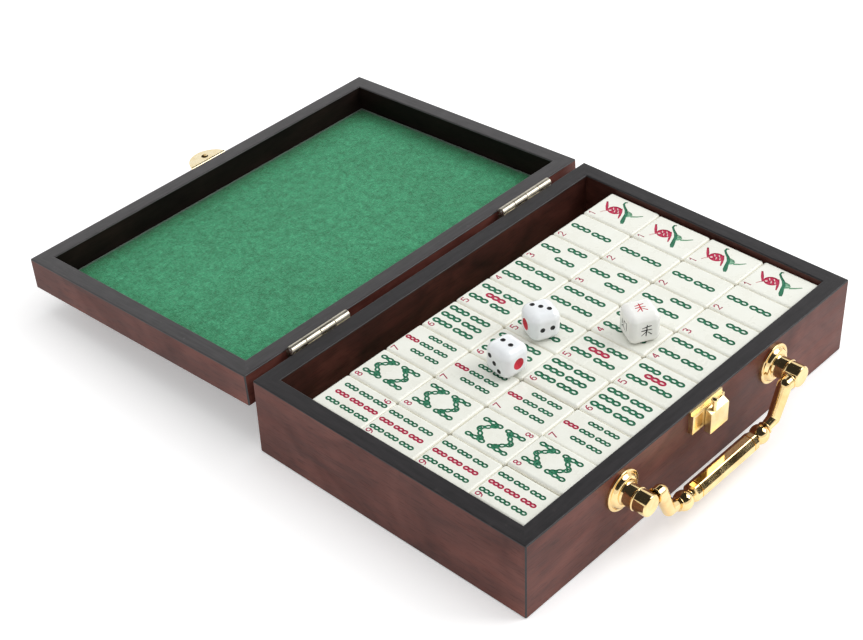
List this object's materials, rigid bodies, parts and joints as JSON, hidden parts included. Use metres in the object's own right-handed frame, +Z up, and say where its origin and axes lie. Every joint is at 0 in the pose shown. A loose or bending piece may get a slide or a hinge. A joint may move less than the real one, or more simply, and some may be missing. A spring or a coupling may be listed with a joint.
{
  "type": "boxed mahjong set",
  "caption": "Hinged wooden case with a brass bail handle, a sliding latch and a felt-lined lid, lying open over rows of rounded ivory-coloured mahjong tiles with dice on top.",
  "frame": {"origin": "middle of the case's underside", "axes": "+X along the hinge, to the right as seen from the handle; +Y from the handle to the hinge and the open lid; +Z up"},
  "size_m": [0.198, 0.2982, 0.046],
  "materials": {
    "case_wood": "satin lacquered red-brown burl veneer, near-black rims",
    "floor_board": "plain sanded board",
    "felt": "short matted green felt",
    "hinge_nickel": "pale nickel plate",
    "screw_steel": "plain plated steel",
    "latch_brass": "pale satin brass",
    "nail_brass": "plain brass",
    "handle_brass": "polished yellow brass",
    "dice_white": "smooth white with sunk painted pips",
    "tile_ivory": "smooth ivory white, engraved and painted faces"
  },
  "bodies": {
    "case": {"base_front_wall": "case_wood", "base_back_wall": "case_wood", "base_left_wall": "case_wood", "base_right_wall": "case_wood", "base_floor": "floor_board", "base_felt": "felt", "hinge_left_case_leaf": "hinge_nickel", "hinge_right_case_leaf": "hinge_nickel", "hinge_left_pin": "hinge_nickel", "hinge_right_pin": "hinge_nickel", "hinge_case_screws": "screw_steel", "latch_plate": "latch_brass", "latch_nails": "nail_brass", "handle_left_rosette": "handle_brass", "handle_right_rosette": "handle_brass", "handle_left_post": "handle_brass", "handle_right_post": "handle_brass", "handle_screws": "screw_steel"},
    "lid": {"lid_front_wall": "case_wood", "lid_back_wall": "case_wood", "lid_left_wall": "case_wood", "lid_right_wall": "case_wood", "lid_panel": "case_wood", "lid_felt": "felt", "hinge_left_lid_leaf": "hinge_nickel", "hinge_right_lid_leaf": "hinge_nickel", "hinge_lid_screws": "screw_steel", "lid_tongue": "latch_brass", "tongue_nails": "nail_brass"},
    "handle": {"handle_left_arm": "handle_brass", "handle_right_arm": "handle_brass", "handle_left_ball": "handle_brass", "handle_right_ball": "handle_brass", "handle_grip": "handle_brass", "handle_pivot_pins": "handle_brass"},
    "latch_bolt": {"latch_slider": "latch_brass", "latch_key": "latch_brass", "latch_stud": "latch_brass"},
    "lower_layer": {"lower_tiles": "tile_ivory"},
    "row_2": {"tile_row_2": "tile_ivory"},
    "row_3": {"tile_row_3": "tile_ivory"},
    "row_4": {"tile_row_4": "tile_ivory"},
    "bamboo_1": {"bamboo_1_tile": "tile_ivory"},
    "bamboo_2": {"bamboo_2_tile": "tile_ivory"},
    "bamboo_3": {"bamboo_3_tile": "tile_ivory"},
    "bamboo_4": {"bamboo_4_tile": "tile_ivory"},
    "bamboo_5": {"bamboo_5_tile": "tile_ivory"},
    "bamboo_6": {"bamboo_6_tile": "tile_ivory"},
    "bamboo_7": {"bamboo_7_tile": "tile_ivory"},
    "bamboo_8": {"bamboo_8_tile": "tile_ivory"},
    "bamboo_9": {"bamboo_9_tile": "tile_ivory"},
    "die_a": {"die_a": "dice_white"},
    "die_b": {"die_b": "dice_white"},
    "wind_die": {"wind_die": "dice_white"}
  },
  "joints": [
    {"name": "lid_hinge", "type": "hinge", "parent": "case", "child": "lid", "pos_m": [0, 0.06975, 0.035], "axis": [-1, 0, 0], "range_deg": [-183.2, 0]},
    {"name": "handle_swing", "type": "hinge", "parent": "case", "child": "handle", "pos_m": [0, -0.0787, 0.0246], "axis": [-1, 0, 0], "range_deg": [-25, 175]},
    {"name": "latch_slide", "type": "slide", "parent": "case", "child": "latch_bolt", "axis": [-1, 0, 0], "range_m": [0, 0.006]},
    {"name": "lower_layer_lift", "type": "slide", "parent": "case", "child": "lower_layer", "axis": [0, 0, 1], "range_m": [0, 0.05]},
    {"name": "row_2_lift", "type": "slide", "parent": "lower_layer", "child": "row_2", "axis": [0, 0, 1], "range_m": [0, 0.04]},
    {"name": "row_3_lift", "type": "slide", "parent": "lower_layer", "child": "row_3", "axis": [0, 0, 1], "range_m": [0, 0.04]},
    {"name": "row_4_lift", "type": "slide", "parent": "lower_layer", "child": "row_4", "axis": [0, 0, 1], "range_m": [0, 0.04]},
    {"name": "bamboo_1_lift", "type": "slide", "parent": "lower_layer", "child": "bamboo_1", "axis": [0, 0, 1], "range_m": [0, 0.04]},
    {"name": "bamboo_2_lift", "type": "slide", "parent": "lower_layer", "child": "bamboo_2", "axis": [0, 0, 1], "range_m": [0, 0.04]},
    {"name": "bamboo_3_lift", "type": "slide", "parent": "lower_layer", "child": "bamboo_3", "axis": [0, 0, 1], "range_m": [0, 0.04]},
    {"name": "bamboo_4_lift", "type": "slide", "parent": "lower_layer", "child": "bamboo_4", "axis": [0, 0, 1], "range_m": [0, 0.04]},
    {"name": "bamboo_5_lift", "type": "slide", "parent": "lower_layer", "child": "bamboo_5", "axis": [0, 0, 1], "range_m": [0, 0.04]},
    {"name": "bamboo_6_lift", "type": "slide", "parent": "lower_layer", "child": "bamboo_6", "axis": [0, 0, 1], "range_m": [0, 0.04]},
    {"name": "bamboo_7_lift", "type": "slide", "parent": "lower_layer", "child": "bamboo_7", "axis": [0, 0, 1], "range_m": [0, 0.04]},
    {"name": "bamboo_8_lift", "type": "slide", "parent": "lower_layer", "child": "bamboo_8", "axis": [0, 0, 1], "range_m": [0, 0.04]},
    {"name": "bamboo_9_lift", "type": "slide", "parent": "lower_layer", "child": "bamboo_9", "axis": [0, 0, 1], "range_m": [0, 0.04]},
    {"name": "die_a_lift", "type": "slide", "parent": "row_3", "child": "die_a", "axis": [0, 0, 1], "range_m": [0, 0.03]},
    {"name": "die_b_lift", "type": "slide", "parent": "row_3", "child": "die_b", "axis": [0, 0, 1], "range_m": [0, 0.03]},
    {"name": "wind_die_lift", "type": "slide", "parent": "row_2", "child": "wind_die", "axis": [0, 0, 1], "range_m": [0, 0.03]}
  ]
}
